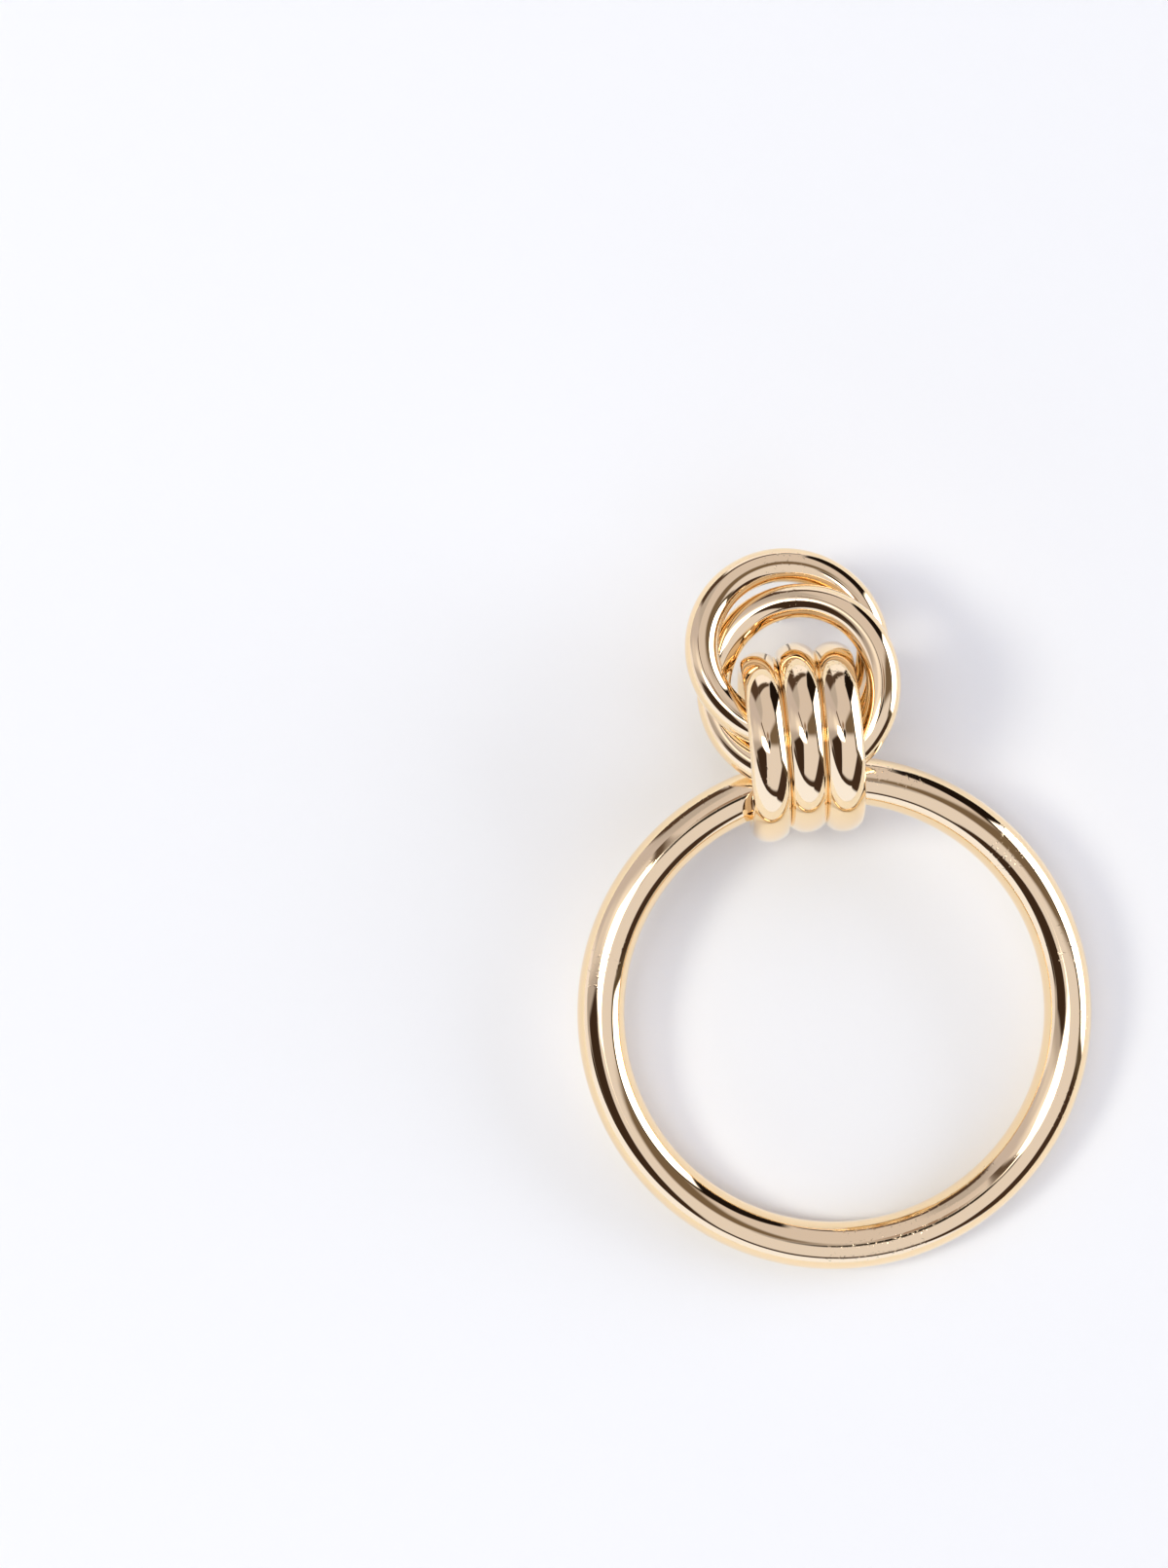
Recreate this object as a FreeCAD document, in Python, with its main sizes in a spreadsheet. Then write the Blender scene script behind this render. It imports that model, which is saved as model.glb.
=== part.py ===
import FreeCAD, Part
import math
import os

# One doorknocker earring, lying face up on a flat surface, in millimetres and degrees.
# A plain hoop hangs in a bail of three rings soldered side by side. The bail goes round the
# lower strands of a knot, which is two linked rings soldered where they cross, and a straight
# post stands on the back of the knot.
# +Y runs from the hoop to the knot, +Z is up. The origin is on the surface, under the middle
# of the earring's bounding box.

X_AXIS = FreeCAD.Vector(1, 0, 0)
Y_AXIS = FreeCAD.Vector(0, 1, 0)
Z_AXIS = FreeCAD.Vector(0, 0, 1)

# The radius of a ring is measured to the middle of its wire or tube. Reaches are distances along
# +Y from the middle of the hoop, and sides are distances along +X from it.
driving_sizes = {
    # The hoop touches the surface at its lowest point, and its tilt lifts the end in the bail.
    "hoop_radius": 26.0,
    "hoop_tube": 5.3,
    "hoop_tilt": 6.9,
    # The rings of the knot stand an offset apart. Each leans off the knot's own plane, so that
    # they touch where they cross. Pitch, roll and turn set how the whole knot lies.
    "knot_radius": 9.55,
    "knot_wire": 3.76,
    "knot_offset": 4.37,
    "knot_lean": 11.5,
    "knot_side": -0.17,
    "knot_reach": 37.89,
    "knot_height": 14.01,
    "knot_pitch": -3.2,
    "knot_roll": -4.35,
    "knot_turn": 7.35,
    # The bail's rings are wider along their common axis than they are thick. The outer two are
    # stepped back towards the hoop, as they were soldered.
    "bail_radius": 9.18,
    "bail_width": 4.2,
    "bail_wall": 2.8,
    "bail_side_curve": 1.0,
    "bail_pitch": 4.1,
    "bail_turn": -2.6,
    "bail_side": -0.1,
    "bail_reach": 30.53,
    "bail_left_step": -0.76,
    "bail_right_step": -0.22,
    # The post's tapered foot is seated under the lower ring's upper strand, an offset outside the
    # middle of the wire. Its seat and its wider shoulder are this far under that middle.
    "post_offset": 0.7,
    "post_seat": 1.99,
    "post_seat_radius": 0.5,
    "post_shoulder": 2.75,
    "post_shoulder_radius": 0.65,
    "post_radius": 0.4,
    "post_rod": 9.5,
}


def knot_rotation(sizes):
    """How the knot lies: turned in its own plane, then rolled and pitched off the level."""
    turned = FreeCAD.Rotation(Z_AXIS, sizes["knot_turn"])
    rolled = FreeCAD.Rotation(Y_AXIS, sizes["knot_roll"])
    pitched = FreeCAD.Rotation(X_AXIS, sizes["knot_pitch"])
    return pitched * rolled * turned


def hoop_y(sizes):
    """Place of the hoop's centre that puts the middle of the whole length at the origin."""
    tilt = math.radians(sizes["hoop_tilt"])
    bottom = -sizes["hoop_radius"] * math.cos(tilt) - sizes["hoop_tube"] / 2
    rotation = knot_rotation(sizes)
    centre = rotation.multVec(FreeCAD.Vector(0, sizes["knot_offset"] / 2, 0))
    ring_axis = (rotation * FreeCAD.Rotation(Y_AXIS, sizes["knot_lean"])).multVec(Z_AXIS)
    half_ring = sizes["knot_radius"] * math.sqrt(1 - ring_axis.y ** 2)
    top = sizes["knot_reach"] + centre.y + half_ring + sizes["knot_wire"] / 2
    return -(bottom + top) / 2


def make_sheet(doc):
    """The sheet of sizes: every driving size, then the hoop's place, which follows from them."""
    sizes = dict(driving_sizes)
    sizes["hoop_place"] = hoop_y(driving_sizes)
    sheet = doc.addObject("Spreadsheet::Sheet", "Sizes")
    for row, (name, value) in enumerate(sizes.items(), start=1):
        sheet.set("A" + str(row), name)
        sheet.set("B" + str(row), str(round(value, 5)))
        sheet.setAlias("B" + str(row), name)
    doc.recompute()
    return sheet


def turns(axis, angle):
    """Expression of a rotation about the X, Y or Z axis."""
    direction = {"X": "1; 0; 0", "Y": "0; 1; 0", "Z": "0; 0; 1"}[axis]
    return f"rotation(vector({direction}); {angle})"


def place(item, x, y, z, rotation):
    """Bind an object's place and rotation to expressions of the sheet's sizes."""
    item.setExpression("Placement", f"placement(vector({x}; {y}; {z}); {rotation})")


def make_hoop(doc):
    """The hoop: a plain ring of round tube whose top is raised by the bail it hangs in."""
    hoop = doc.addObject("Part::Torus", "hoop")
    hoop.setExpression("Radius1", "Sizes.hoop_radius")
    hoop.setExpression("Radius2", "Sizes.hoop_tube / 2")
    height = "Sizes.hoop_radius * sin(Sizes.hoop_tilt) + Sizes.hoop_tube / 2"
    place(hoop, "0", "Sizes.hoop_place", height, turns("X", "Sizes.hoop_tilt"))
    hoop.Label = "hoop"
    return hoop


def make_knot(doc):
    """The knot: two equal rings of round wire, linked, and soldered where they cross."""
    rings = []
    for name, side in (("ring_upper", 1), ("ring_lower", -1)):
        ring = doc.addObject("Part::Torus", name)
        ring.setExpression("Radius1", "Sizes.knot_radius")
        ring.setExpression("Radius2", "Sizes.knot_wire / 2")
        lean = turns("Y", f"{side} * Sizes.knot_lean")
        place(ring, "0", f"{side} * Sizes.knot_offset / 2", "0", lean)
        rings.append(ring)
    knot = doc.addObject("Part::Fuse", "knot_rings")
    knot.Base = rings[0]
    knot.Tool = rings[1]
    pitched = turns("X", "Sizes.knot_pitch")
    rolled = turns("Y", "Sizes.knot_roll")
    turned = turns("Z", "Sizes.knot_turn")
    reach = "Sizes.hoop_place + Sizes.knot_reach"
    place(knot, "Sizes.knot_side", reach, "Sizes.knot_height", f"{pitched} * {rolled} * {turned}")
    knot.Label = "knot_rings"
    return knot


def oval_outline(half_width, half_wall, side_curve):
    """An oval of four tangent arcs: a tight one at each side, a wide one inside and outside."""
    crown_curve = half_width ** 2 + half_wall ** 2 - 2 * half_width * side_curve
    crown_curve /= 2 * (half_wall - side_curve)
    to_joint = FreeCAD.Vector(half_width - side_curve, crown_curve - half_wall, 0)
    to_joint.normalize()
    joint_x = half_width - side_curve + side_curve * to_joint.x
    joint_y = side_curve * to_joint.y
    corners = [(joint_x, -joint_y), (joint_x, joint_y), (-joint_x, joint_y), (-joint_x, -joint_y)]
    middles = [(half_width, 0), (0, half_wall), (-half_width, 0), (0, -half_wall)]
    arcs = []
    for index, middle in enumerate(middles):
        start = FreeCAD.Vector(*corners[index], 0)
        end = FreeCAD.Vector(*corners[(index + 1) % 4], 0)
        arcs.append(Part.Arc(start, FreeCAD.Vector(*middle, 0), end).toShape())
    return Part.Wire(arcs)


def make_bail(doc, sheet):
    """The bail: three rings of oval section, soldered side by side with small steps."""
    outline = oval_outline(sheet.bail_width / 2, sheet.bail_wall / 2, sheet.bail_side_curve)
    rings = []
    for name, side, step in (
        ("ring_left", -1, "Sizes.bail_left_step"),
        ("ring_middle", 0, "0"),
        ("ring_right", 1, "Sizes.bail_right_step"),
    ):
        section = doc.addObject("Part::Feature", name + "_section")
        section.Shape = outline
        section.setExpression("Placement.Base.x", f"{side} * Sizes.bail_pitch")
        section.setExpression("Placement.Base.y", f"{step} + Sizes.bail_radius")
        ring = doc.addObject("Part::Revolution", name)
        ring.Source = section
        ring.Axis = X_AXIS
        ring.Angle = 360
        ring.Solid = True
        ring.setExpression("Base.y", step)
        rings.append(ring)
    bail = doc.addObject("Part::MultiFuse", "bail")
    bail.Shapes = rings
    reach = "Sizes.hoop_place + Sizes.bail_reach"
    height = "Sizes.bail_radius + Sizes.bail_wall / 2"
    place(bail, "Sizes.bail_side", reach, height, turns("Z", "Sizes.bail_turn"))
    bail.Label = "bail"
    return bail


def make_post(doc):
    """The post: a thin straight rod with a round tip, on a foot seated under a strand of the knot."""
    foot = doc.addObject("Part::Cone", "foot")
    foot.setExpression("Radius1", "Sizes.post_shoulder_radius")
    foot.setExpression("Radius2", "Sizes.post_seat_radius")
    foot.setExpression("Height", "Sizes.post_shoulder - Sizes.post_seat")
    foot.setExpression("Placement.Base.z", "-1 * Sizes.post_shoulder")
    end = "-1 * Sizes.post_shoulder - Sizes.post_rod"
    rod = doc.addObject("Part::Cylinder", "rod")
    rod.setExpression("Radius", "Sizes.post_radius")
    rod.setExpression("Height", "Sizes.post_rod")
    rod.setExpression("Placement.Base.z", end)
    tip = doc.addObject("Part::Sphere", "round_tip")
    tip.setExpression("Radius", "Sizes.post_radius")
    tip.setExpression("Placement.Base.z", end)
    post = doc.addObject("Part::MultiFuse", "ear_post")
    post.Shapes = [foot, rod, tip]
    reach = "Sizes.knot_radius - Sizes.knot_offset / 2 + Sizes.post_offset"
    on_knot = f"placement(vector(0; {reach}; 0); {turns('Z', '0')})"
    post.setExpression("Placement", f"knot_rings.Placement * {on_knot}")
    post.Label = "ear_post"
    return post


def check_document(doc, parts):
    """Stop if any object failed, or if any piece is not one sound solid."""
    for item in doc.Objects:
        if "Invalid" in item.State or "Error" in item.State:
            raise RuntimeError(item.Name + " failed: " + str(item.State))
    for part in parts:
        shape = part.Shape
        if shape.isNull() or not shape.isValid() or len(shape.Solids) != 1:
            raise RuntimeError(part.Label + " is not one valid solid")


doc = FreeCAD.newDocument("Earring")
sheet = make_sheet(doc)
parts = [make_hoop(doc), make_knot(doc), make_bail(doc, sheet), make_post(doc)]
doc.recompute()
check_document(doc, parts)

os.makedirs("parts", exist_ok=True)
for part in parts:
    part.Shape.exportStep("parts/" + part.Label + ".step")
    box = part.Shape.optimalBoundingBox()
    print(part.Label, "volume", round(part.Shape.Volume, 2))
    print("  x", round(box.XMin, 3), round(box.XMax, 3), "y", round(box.YMin, 3), round(box.YMax, 3))
    print("  z", round(box.ZMin, 3), round(box.ZMax, 3))
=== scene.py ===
"""The looks of one doorknocker earring: gold-plated hoop, bail and knot, and a steel post."""
import math

import bmesh
import bpy
import numpy as np
from mathutils import Matrix, Vector


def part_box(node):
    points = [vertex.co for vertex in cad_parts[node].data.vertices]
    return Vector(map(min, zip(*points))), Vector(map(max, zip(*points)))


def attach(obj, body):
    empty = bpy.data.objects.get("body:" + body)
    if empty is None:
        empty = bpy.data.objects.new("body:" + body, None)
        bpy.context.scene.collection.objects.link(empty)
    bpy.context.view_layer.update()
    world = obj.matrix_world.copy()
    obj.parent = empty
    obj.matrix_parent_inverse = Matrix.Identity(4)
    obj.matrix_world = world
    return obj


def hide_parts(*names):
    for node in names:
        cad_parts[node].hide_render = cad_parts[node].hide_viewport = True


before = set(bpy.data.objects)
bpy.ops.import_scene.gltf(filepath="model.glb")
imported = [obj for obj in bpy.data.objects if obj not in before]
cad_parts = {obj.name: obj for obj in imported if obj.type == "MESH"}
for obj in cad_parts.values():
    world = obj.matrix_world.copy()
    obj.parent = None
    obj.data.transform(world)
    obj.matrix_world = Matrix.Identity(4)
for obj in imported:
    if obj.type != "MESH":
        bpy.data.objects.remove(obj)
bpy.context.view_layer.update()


# The camera looks down on the earring, a little from the hoop's end.
# It is aimed at a point of the surface beside the hoop, so the earring sits right of the middle.
CAMERA_PLACE = Vector((-0.0289160, -0.0180270, 0.3855780))
CAMERA_AIM = Vector((-0.0243790, 0.0178810, 0.0))
CAMERA_RIGHT = Vector((0.9921147, -0.1253332, 0.0))
FOCAL_PIXELS = 3500
LONG_SIDE_PIXELS = 1611
SENSOR = 36.0

camera_data = bpy.data.cameras.new("camera")
camera_data.sensor_width = SENSOR
camera_data.lens = FOCAL_PIXELS / LONG_SIDE_PIXELS * SENSOR
camera_data.clip_start = 0.01
camera_data.clip_end = 10.0
camera = bpy.data.objects.new("camera", camera_data)
bpy.context.scene.collection.objects.link(camera)
backward = (CAMERA_PLACE - CAMERA_AIM).normalized()
upward = backward.cross(CAMERA_RIGHT).normalized()
rightward = upward.cross(backward)
camera.rotation_euler = Matrix((rightward, upward, backward)).transposed().to_euler()
camera.location = CAMERA_PLACE
bpy.context.scene.camera = camera


# The hoop is a plain ring of round tube, polished to a mirror and plated pale gold.
# It lies tilted, with its top end raised by the bail.
HOOP_RADIUS = 0.0260
HOOP_TUBE = 0.00265
HOOP_TILT = math.radians(6.9)
HOOP_STEPS = (720, 120)


class Value:
    """A socket whose sums and products are written as Python expressions."""

    def __init__(self, shader, socket):
        self.shader = shader
        self.socket = socket

    def math(self, operation, first, second):
        return self.shader.node("Math", {"operation": operation}, {0: first, 1: second})

    def __add__(self, other):
        return self.math("ADD", self, other)

    def __mul__(self, other):
        return self.math("MULTIPLY", self, other)

    __radd__ = __add__
    __rmul__ = __mul__


class Shader:
    """One node tree, built from nothing by node()."""

    def __init__(self, tree):
        self.tree = tree
        tree.nodes.clear()

    def node(self, kind, settings=None, inputs=None, output=0):
        """Add a node: its settings are set first, then each named or numbered socket gets its
        value or link. Returns one of its outputs, or the node itself if it has none."""
        made = self.tree.nodes.new("ShaderNode" + kind)
        for name, value in (settings or {}).items():
            setattr(made, name, value)
        for socket, value in (inputs or {}).items():
            if isinstance(value, Value):
                self.tree.links.new(value.socket, made.inputs[socket])
            else:
                made.inputs[socket].default_value = value
        return Value(self, made.outputs[output]) if len(made.outputs) else made

    def step(self, value, low, high):
        """A smooth step from 0 at low to 1 at high; with low above high it falls instead."""
        ends = {"Value": value, "From Min": low, "From Max": high}
        return self.node("MapRange", {"interpolation_type": "SMOOTHSTEP"}, ends)


GOLD_COLOUR = (0.98, 0.735, 0.42, 1.0)
PATCHES_PER_METRE = 90
PITS_PER_METRE = 2600
RIPPLES_PER_METRE = 260
PIT_EDGE = (0.60, 0.74)
PIT_DEPTH = 0.00001
RIPPLE_DEPTH = 0.00002
GOLD_ROUGHNESS = 0.035
WORN_ROUGHNESS = 0.07
WEAR_SOFTNESS = 0.10
HOOP_WEAR_FROM = 0.52
LACQUER_IOR = 1.55
LACQUER_ROUGHNESS = 0.02


def gold_plating(name, wear_from):
    """Mirror-polished plating under a clear lacquer. Faint ripples left by the polishing bend what
    it mirrors, and fine pits and a little haze break it up in worn patches, which are where the
    patchy noise is above wear_from."""
    material = bpy.data.materials.new(name)
    material.use_nodes = True
    shader = Shader(material.node_tree)
    place = shader.node("TexCoord", output="Object")

    def noise(per_metre, detail):
        return shader.node("TexNoise", inputs={"Vector": place, "Scale": per_metre, "Detail": detail})

    patches = noise(PATCHES_PER_METRE, detail=3.0)
    worn = shader.step(patches, wear_from, wear_from + WEAR_SOFTNESS)
    pits = shader.step(noise(PITS_PER_METRE, detail=1.0), *PIT_EDGE)
    ripples = noise(RIPPLES_PER_METRE, detail=1.0)
    height = ripples * RIPPLE_DEPTH + pits * (worn * PIT_DEPTH)
    normal = shader.node("Bump", inputs={"Height": height, "Distance": 1.0, "Strength": 1.0})
    surface = {
        "Base Color": GOLD_COLOUR,
        "Metallic": 1.0,
        "Roughness": worn * (WORN_ROUGHNESS - GOLD_ROUGHNESS) + GOLD_ROUGHNESS,
        "Normal": normal,
        "Coat Weight": 1.0,
        "Coat IOR": LACQUER_IOR,
        "Coat Roughness": LACQUER_ROUGHNESS,
    }
    finish = shader.node("BsdfPrincipled", inputs=surface)
    shader.node("OutputMaterial", inputs={"Surface": finish})
    return material


def circle_section(radius, count):
    """A round section: at angle v its point is radius cos v outwards and radius sin v sideways."""
    angle = np.arange(count) * 2 * math.pi / count
    return np.stack([radius * np.cos(angle), radius * np.sin(angle)], 1)


def ring_grid(radius, section, steps):
    """A section carried round a circle about +Z: at angle u the point is (radius + out) times
    (cos u, sin u) in the plane, and sideways along Z. Returns steps by section points by three."""
    angle = np.arange(steps) * 2 * math.pi / steps
    reach = radius + section[None, :, 0]
    return np.stack(
        [
            reach * np.cos(angle)[:, None],
            reach * np.sin(angle)[:, None],
            np.broadcast_to(section[None, :, 1], (steps, len(section))),
        ],
        2,
    )


def moved(grid, turn, place):
    """The grid turned by a matrix and then moved to its place."""
    return grid @ np.array(turn).T + np.array(place)


def closed_mesh(name, grids):
    """One smooth mesh of several grids, each closed both ways."""
    points, quads = [], []
    offset = 0
    for grid in grids:
        rows, columns = grid.shape[:2]
        i, j = np.meshgrid(np.arange(rows), np.arange(columns), indexing="ij")
        i, j = i.ravel(), j.ravel()
        i_next, j_next = (i + 1) % rows, (j + 1) % columns
        corners = [(i, j), (i_next, j), (i_next, j_next), (i, j_next)]
        quads.append(offset + np.stack([row * columns + column for row, column in corners], 1))
        points.append(grid.reshape(-1, 3))
        offset += rows * columns
    mesh = bpy.data.meshes.new(name)
    mesh.from_pydata(np.concatenate(points).tolist(), [], np.concatenate(quads).tolist())
    mesh.shade_smooth()
    return mesh


def add_piece(mesh, material, node):
    """Put a mesh in the scene with the given finish, under the root body, and hide the node of the
    model that it replaces.
    """
    mesh.materials.append(material)
    piece = bpy.data.objects.new(mesh.name, mesh)
    bpy.context.scene.collection.objects.link(piece)
    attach(piece, "root")
    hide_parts(node)


hoop_low, hoop_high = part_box("hoop")
hoop_centre = (hoop_low + hoop_high) / 2
hoop_turn = Matrix.Rotation(HOOP_TILT, 3, "X")
hoop_grid = ring_grid(HOOP_RADIUS, circle_section(HOOP_TUBE, HOOP_STEPS[1]), HOOP_STEPS[0])
hoop_mesh = closed_mesh("polished_hoop", [moved(hoop_grid, hoop_turn, hoop_centre)])
hoop_gold = gold_plating("hoop_gold_plating", HOOP_WEAR_FROM)
add_piece(hoop_mesh, hoop_gold, "hoop")


# The knot is two equal rings of round wire, linked into each other and soldered where they cross.
# Each ring leans off the knot's own plane, one to each side.
KNOT_RADIUS = 0.00955
KNOT_WIRE = 0.00188
KNOT_OFFSET = 0.00437
KNOT_LEAN = math.radians(11.5)
KNOT_CENTRE = Vector((-0.00017, 0.026396, 0.01401))
KNOT_PITCH = math.radians(-3.2)
KNOT_ROLL = math.radians(-4.35)
KNOT_TURN = math.radians(7.35)
KNOT_STEPS = (480, 96)
KNOT_WEAR_FROM = 0.58

knot_turn = (
    Matrix.Rotation(KNOT_PITCH, 3, "X")
    @ Matrix.Rotation(KNOT_ROLL, 3, "Y")
    @ Matrix.Rotation(KNOT_TURN, 3, "Z")
)
knot_grid = ring_grid(KNOT_RADIUS, circle_section(KNOT_WIRE, KNOT_STEPS[1]), KNOT_STEPS[0])
knot_grids = []
for side in (1, -1):
    lean = Matrix.Rotation(side * KNOT_LEAN, 3, "Y")
    centre = KNOT_CENTRE + knot_turn @ Vector((0, side * KNOT_OFFSET / 2, 0))
    knot_grids.append(moved(knot_grid, knot_turn @ lean, centre))
knot_gold = gold_plating("knot_gold_plating", KNOT_WEAR_FROM)
add_piece(closed_mesh("linked_rings", knot_grids), knot_gold, "knot_rings")


# The bail is three rings of wide, domed section, soldered side by side. It goes round the hoop and
# the lower strands of the knot, and its outer two rings are stepped back a little.
BAIL_RADIUS = 0.00918
BAIL_WIDTH = 0.0042
BAIL_WALL = 0.0028
BAIL_SIDE_CURVE = 0.0010
BAIL_PITCH = 0.0041
BAIL_TURN = math.radians(-2.6)
BAIL_CENTRE = Vector((-0.0001, 0.019036, 0.01058))
BAIL_STEPS_BACK = (-0.00076, 0.0, -0.00022)
BAIL_STEPS = (340, 96)


def oval_section(half_width, half_wall, side_curve, count):
    """An oval of four tangent arcs, tight at the sides and wide in the wall: each point lies on the
    arc whose normal points at its angle, so the angle of the normal runs evenly round each arc."""
    crown = half_width**2 + half_wall**2 - 2 * half_width * side_curve
    crown /= 2 * (half_wall - side_curve)
    joint = math.atan2(crown - half_wall, half_width - side_curve)
    # The tight sides get two thirds of the points.
    side_share = count // 6 * 2
    crown_share = count // 2 - side_share
    side_angle = np.linspace(-joint, joint, side_share, endpoint=False)
    crown_angle = np.linspace(joint, math.pi - joint, crown_share, endpoint=False)
    side_middle = half_width - side_curve
    side = [side_curve * np.sin(side_angle), side_middle + side_curve * np.cos(side_angle)]
    wall = [half_wall - crown + crown * np.sin(crown_angle), crown * np.cos(crown_angle)]
    side, wall = np.stack(side, 1), np.stack(wall, 1)
    return np.concatenate([side, wall, -side, -wall])[::-1]


bail_section = oval_section(BAIL_WIDTH / 2, BAIL_WALL / 2, BAIL_SIDE_CURVE, BAIL_STEPS[1])
bail_grid = ring_grid(BAIL_RADIUS, bail_section, BAIL_STEPS[0])
bail_turn = Matrix.Rotation(BAIL_TURN, 3, "Z")
stand_up = Matrix.Rotation(math.radians(90), 3, "Y")
bail_grids = []
for place, step in zip((-1, 0, 1), BAIL_STEPS_BACK):
    centre = BAIL_CENTRE + bail_turn @ Vector((place * BAIL_PITCH, step, 0))
    bail_grids.append(moved(bail_grid, bail_turn @ stand_up, centre))
add_piece(closed_mesh("ringed_bail", bail_grids), knot_gold, "bail")


# The post is a straight steel rod with a round tip, on a tapered foot soldered under the lower
# ring's upper strand, a little outside the middle of the wire.
POST_OFFSET = 0.0007
POST_SEAT = 0.00199
POST_SEAT_RADIUS = 0.0005
POST_SHOULDER = 0.00275
POST_SHOULDER_RADIUS = 0.00065
POST_RADIUS = 0.0004
POST_ROD = 0.0095
POST_STEPS = 48
TIP_STEPS = 12
STEEL_COLOUR = (0.50, 0.50, 0.51, 1.0)
STEEL_ROUGHNESS = 0.28
STEEL_ROUGHNESS_SPREAD = 0.1
DRAWN_LINES_PER_METRE = 9000
DRAWN_LINE_DEPTH = 0.0000012
DRAWN_LINE_SHRINK = 0.04
SHARP_EDGE = math.radians(40)
MERGE_DISTANCE = 0.0000004


def post_outline():
    """Radius and height down the post from the foot's shoulder at height 0: a flat seat, the foot's
    taper, its shoulder, the rod, and a tip that is half a sphere, sampled at even angles."""
    angle = np.linspace(0, math.pi / 2, TIP_STEPS)
    tip = np.stack([POST_RADIUS * np.cos(angle), -POST_ROD - POST_RADIUS * np.sin(angle)], 1)
    seat_height = POST_SHOULDER - POST_SEAT
    seat = [(0, seat_height), (POST_SEAT_RADIUS, seat_height)]
    shoulder = [(POST_SHOULDER_RADIUS, 0), (POST_RADIUS, 0)]
    return np.concatenate([seat, shoulder, tip])


def turned_mesh(name, outline, turn, place):
    """An outline of radii and heights turned about +Z, with its two ends closed at the axis."""
    angle = np.arange(POST_STEPS) * 2 * math.pi / POST_STEPS
    radius, height = outline[:, 0, None], outline[:, 1, None]
    grid = np.stack([radius * np.cos(angle), radius * np.sin(angle), height + 0 * angle], 2)
    rows, columns = len(outline), POST_STEPS
    i, j = np.meshgrid(np.arange(rows - 1), np.arange(columns), indexing="ij")
    near, far = j.ravel() + i.ravel() * columns, (j.ravel() + 1) % columns + i.ravel() * columns
    quads = np.stack([near, near + columns, far + columns, far], 1)
    mesh = bpy.data.meshes.new(name)
    mesh.from_pydata(moved(grid, turn, place).reshape(-1, 3).tolist(), [], quads.tolist())
    shell = bmesh.new()
    shell.from_mesh(mesh)
    bmesh.ops.remove_doubles(shell, verts=shell.verts, dist=MERGE_DISTANCE)
    for face in shell.faces:
        face.smooth = True
    for edge in shell.edges:
        edge.smooth = edge.calc_face_angle(0) < SHARP_EDGE
    shell.to_mesh(mesh)
    shell.free()
    return mesh


def drawn_steel():
    """Plain steel wire with faint scratches along it, from drawing."""
    material = bpy.data.materials.new("drawn_steel")
    material.use_nodes = True
    shader = Shader(material.node_tree)
    place = shader.node("TexCoord", output="Object")
    stretch = (1.0, 1.0, DRAWN_LINE_SHRINK)
    stretched = shader.node("Mapping", inputs={"Vector": place, "Scale": stretch})
    lines = shader.node("TexNoise", inputs={"Vector": stretched, "Scale": DRAWN_LINES_PER_METRE})
    normal = shader.node("Bump", inputs={"Height": lines * DRAWN_LINE_DEPTH, "Distance": 1.0})
    surface = {
        "Base Color": STEEL_COLOUR,
        "Metallic": 1.0,
        "Roughness": lines * STEEL_ROUGHNESS_SPREAD + STEEL_ROUGHNESS,
        "Normal": normal,
    }
    finish = shader.node("BsdfPrincipled", inputs=surface)
    shader.node("OutputMaterial", inputs={"Surface": finish})
    return material


post_reach = KNOT_RADIUS - KNOT_OFFSET / 2 + POST_OFFSET
post_place = KNOT_CENTRE + knot_turn @ Vector((0, post_reach, -POST_SHOULDER))
post_mesh = turned_mesh("steel_post", post_outline(), knot_turn, post_place)
add_piece(post_mesh, drawn_steel(), "ear_post")


# The board is a smooth pale sheet that the earring lies on. The polished metal mirrors it from
# above, and the window's soft shadows fall on it.
BOARD_SIZE = 3.0
BOARD_COLOUR = (0.92, 0.918, 0.85, 1.0)

board_mesh = bpy.data.meshes.new("board")
half = BOARD_SIZE / 2
board_corners = [(-half, -half, 0), (half, -half, 0), (half, half, 0), (-half, half, 0)]
board_mesh.from_pydata(board_corners, [], [(0, 1, 2, 3)])
board_material = bpy.data.materials.new("pale_board")
board_material.use_nodes = True
board_shader = Shader(board_material.node_tree)
board_surface = board_shader.node("BsdfDiffuse", inputs={"Color": BOARD_COLOUR})
board_shader.node("OutputMaterial", inputs={"Surface": board_surface})
board_mesh.materials.append(board_material)
board = bpy.data.objects.new("board", board_mesh)
bpy.context.scene.collection.objects.link(board)


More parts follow.
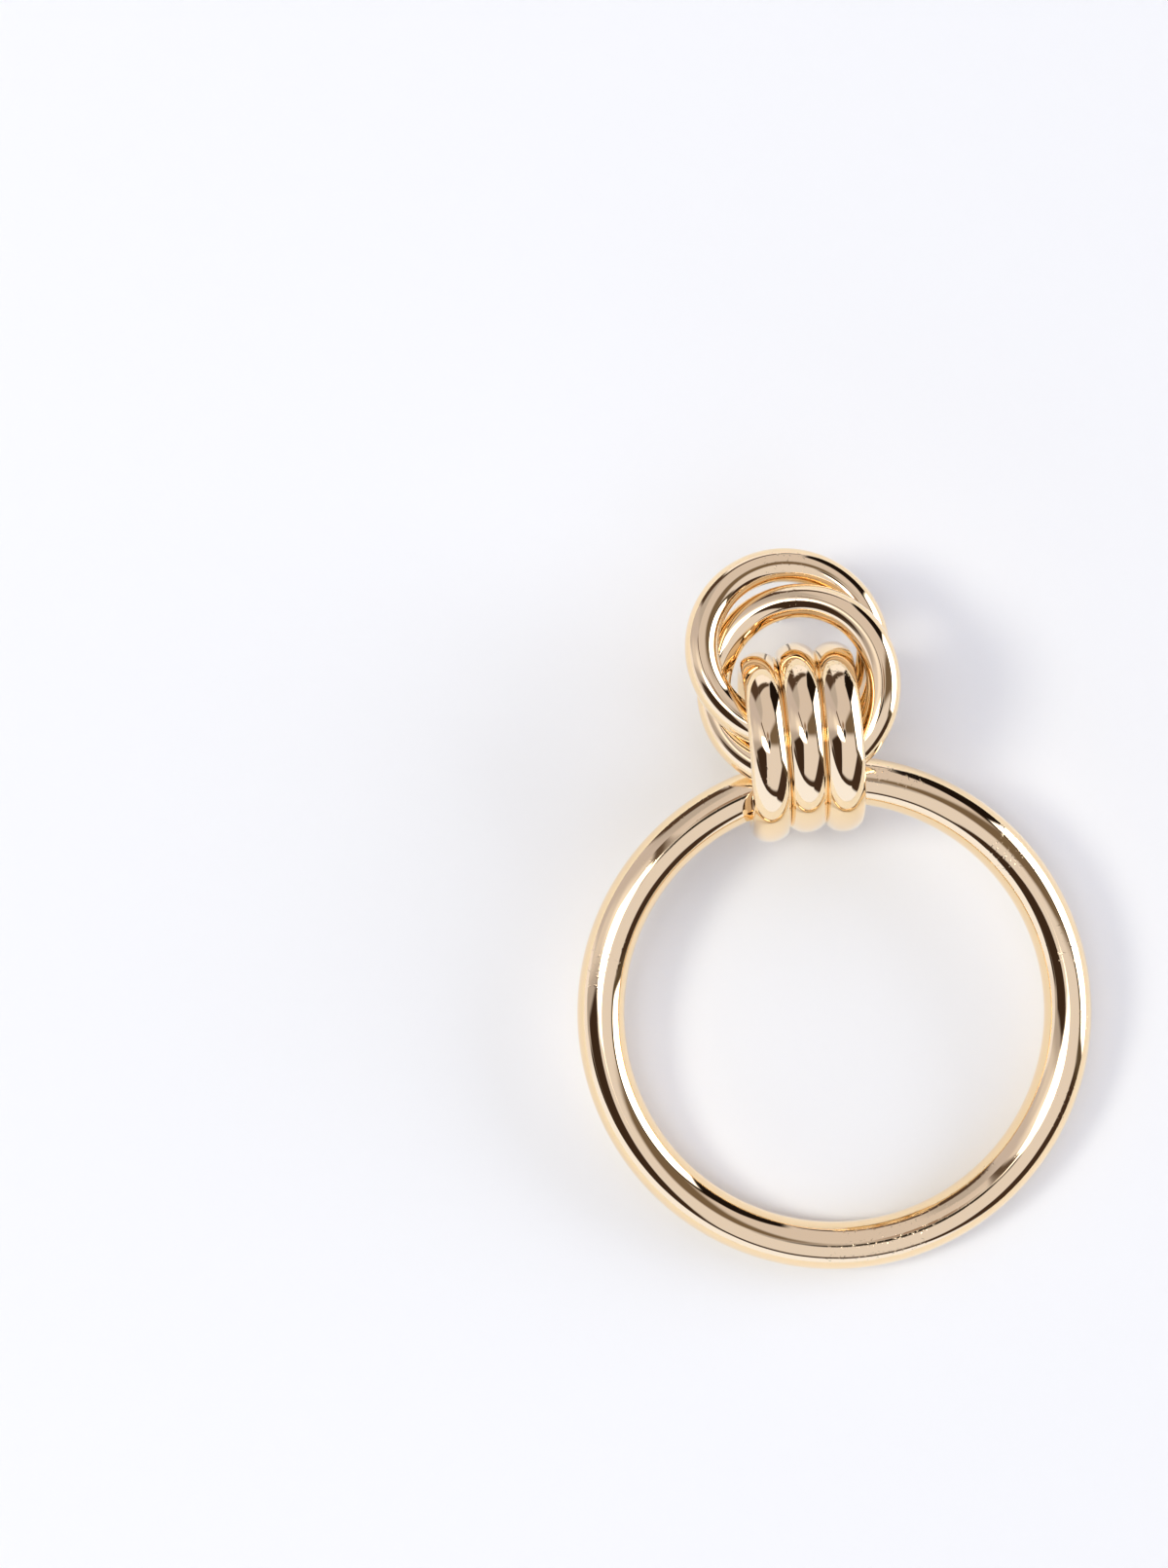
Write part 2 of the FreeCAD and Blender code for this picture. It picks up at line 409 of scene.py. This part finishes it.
# The studio is what the gold mirrors. Each panel has a soft edge in degrees, a colour, and corners
# that are azimuths from +X and elevations in degrees, joined by straight sides. Each spot has its
# radius and its middle instead. Later ones stand in front of earlier ones.
PANELS = (
    # the left wall, its pale foot and its darker parts
    (5, (0.59, 0.58, 0.72), ((110, -10), (112, 50), (166, 54), (190, 30), (190, -10))),
    (4, (0.50, 0.50, 0.60), ((104, 24), (108, 50), (130, 56), (132, 22))),
    (5, (0.92, 0.96, 1.22), ((158, -10), (160, 10), (172, 22), (192, 22), (192, -10))),
    (3, (0.46, 0.45, 0.54), ((171, 16), (173, 57), (188, 57), (188, 20))),
    (6, (0.74, 0.74, 0.88), ((152, 20), (152, 46), (172, 46), (172, 20))),
    (7, (1.02, 1.04, 1.2), ((150, 44), (152, 68), (173, 66), (172, 47))),
    # the far wall and the dark things above it
    (2, (1.01, 1.06, 1.31), ((58, -10), (60, 9), (90, 13), (116, 16), (116, -10))),
    (1.5, (0.085, 0.06, 0.05), ((64, 9), (66, 14), (106, 27), (107, 15))),
    (3, (0.085, 0.056, 0.046), ((108, -10), (104, 26), (128, 24), (132, -10))),
    # the screen on the left of the camera
    (2, (0.045, 0.028, 0.021), ((184, 30), (184, 59), (203, 68.5), (222, 70), (241, 52), (246, 27))),
    # the soft box near the zenith, and the bar along its edge
    (1.5, (4.5, 4.6, 5.2), ((163, 60), (181, 60), (211, 71), (272, 77), (263, 82), (156, 79))),
    (1.2, (0.12, 0.09, 0.08), ((132, 54), (138, 54), (195, 82), (180, 85))),
    # the screen on the right, the soft box with its dark frame, and the flag beside it
    (2, (0.055, 0.034, 0.027), ((286, 15), (288, 29), (316, 30), (334, 31), (338, -10), (314, -10))),
    (5, (0.18, 0.14, 0.11), ((-8, 42), (30, 41), (36, 60), (50, 76), (20, 84), (-30, 80), (-14, 60))),
    (3, (0.10, 0.08, 0.06), ((-28, -10), (-27, 33), (-6, 44), (24, 45), (38, 38), (40, -10))),
    (2, (0.012, 0.008, 0.007), ((32, -10), (30, 37), (44, 37), (62, 27), (64, 8), (50, -10))),
    (1.5, (3.4, 3.6, 4.4), ((-21, -10), (-20, 27), (-4, 36), (22, 37), (33, 31), (33, -10))),
)
SPOTS = (
    # a brown patch overhead, and the dark lens
    (3, (0.30, 0.21, 0.17), 4.5, (100, 83)),
    (2, (0.03, 0.026, 0.024), 5.5, (300, 86)),
)
# The ceiling fades from its near to its far colour between two values of a direction's Y.
CEILING_NEAR = (0.79, 0.81, 0.99)
CEILING_FAR = (0.69, 0.68, 0.81)
CEILING_FADE = (-0.2, 0.4)
# The wall in front ends at a straight edge, with a dark band above it. Each fades out between
# two angles past that edge, in degrees.
WALL_EDGE_AZIMUTH = 233
WALL_EDGE_ELEVATION = 28
WALL_COLOUR = (0.98, 1.09, 1.44)
WALL_FADE = (1, -1)
WALL_EDGE_COLOUR = (0.052, 0.033, 0.025)
WALL_EDGE_FADE = (11, 6)
BACKDROP_COLOUR = (0.90, 0.90, 0.92)
WINDOW_PLACE = (178, 48)
WINDOW_DISTANCE = 2
WINDOW_SIZE = 0.6
WINDOW_POWER = 13.4
WINDOW_COLOUR = (1.0, 0.98, 0.92)


def toward(azimuth, elevation):
    """The unit vector towards an azimuth and elevation given in degrees."""
    a, e = math.radians(azimuth), math.radians(elevation)
    return Vector((math.cos(e) * math.cos(a), math.cos(e) * math.sin(a), math.sin(e)))


def build_studio():
    """The world: ceiling, wall, panels and spots painted one over another on all directions."""
    world = bpy.data.worlds.new("studio")
    world.use_nodes = True
    bpy.context.scene.world = world
    shader = Shader(world.node_tree)
    direction = shader.node("TexCoord", output="Generated")
    direction = shader.node("VectorMath", {"operation": "NORMALIZE"}, {0: direction})

    def along(vector):
        operation = {"operation": "DOT_PRODUCT"}
        return shader.node("VectorMath", operation, {0: direction, 1: vector}, "Value")

    def degrees_of(operation, value):
        return shader.node("Math", {"operation": operation}, {0: value}) * math.degrees(1)

    def paint(colour, mask, picture):
        inputs = {0: mask, 6: picture, 7: (*colour, 1.0)}
        return shader.node("Mix", {"data_type": "RGBA"}, inputs, 2)

    to_far = shader.step(along((0, 1, 0)), *CEILING_FADE)
    picture = paint(CEILING_FAR, to_far, (*CEILING_NEAR, 1.0))

    edge_normal = toward(WALL_EDGE_AZIMUTH + 180, 90 - WALL_EDGE_ELEVATION)
    over_edge = degrees_of("ARCSINE", along(edge_normal))
    picture = paint(WALL_EDGE_COLOUR, shader.step(over_edge, *WALL_EDGE_FADE), picture)
    picture = paint(WALL_COLOUR, shader.step(over_edge, *WALL_FADE), picture)

    for edge, colour, corners in PANELS:
        points = [toward(*corner) for corner in corners]
        middle = sum(points, Vector())
        fade = math.sin(math.radians(edge))
        mask = 1.0
        for start, end in zip(points, points[1:] + points[:1]):
            inward = start.cross(end).normalized()
            inward *= math.copysign(1, inward.dot(middle))
            mask = mask * shader.step(along(inward), -fade, fade)
        picture = paint(colour, mask, picture)
    for edge, colour, radius, middle in SPOTS:
        away = degrees_of("ARCCOSINE", along(toward(*middle)))
        picture = paint(colour, shader.step(away, radius + edge, radius - edge), picture)

    seen_directly = shader.node("LightPath", output="Is Camera Ray")
    picture = paint(BACKDROP_COLOUR, seen_directly, picture)
    light = shader.node("Background", inputs={"Color": picture, "Strength": 1.0})
    shader.node("OutputWorld", inputs={"Surface": light})


def add_window():
    """The large soft window on the left, which casts the soft shadows to the right."""
    light = bpy.data.lights.new("window", "AREA")
    light.shape = "DISK"
    light.size = WINDOW_SIZE
    light.energy = WINDOW_POWER
    light.color = WINDOW_COLOUR
    window = bpy.data.objects.new("window", light)
    window.location = toward(*WINDOW_PLACE) * WINDOW_DISTANCE
    window.rotation_euler = toward(*WINDOW_PLACE).to_track_quat("Z", "Y").to_euler()
    window.visible_glossy = False
    bpy.context.scene.collection.objects.link(window)


build_studio()
add_window()
bpy.context.scene.view_settings.view_transform = "Standard"
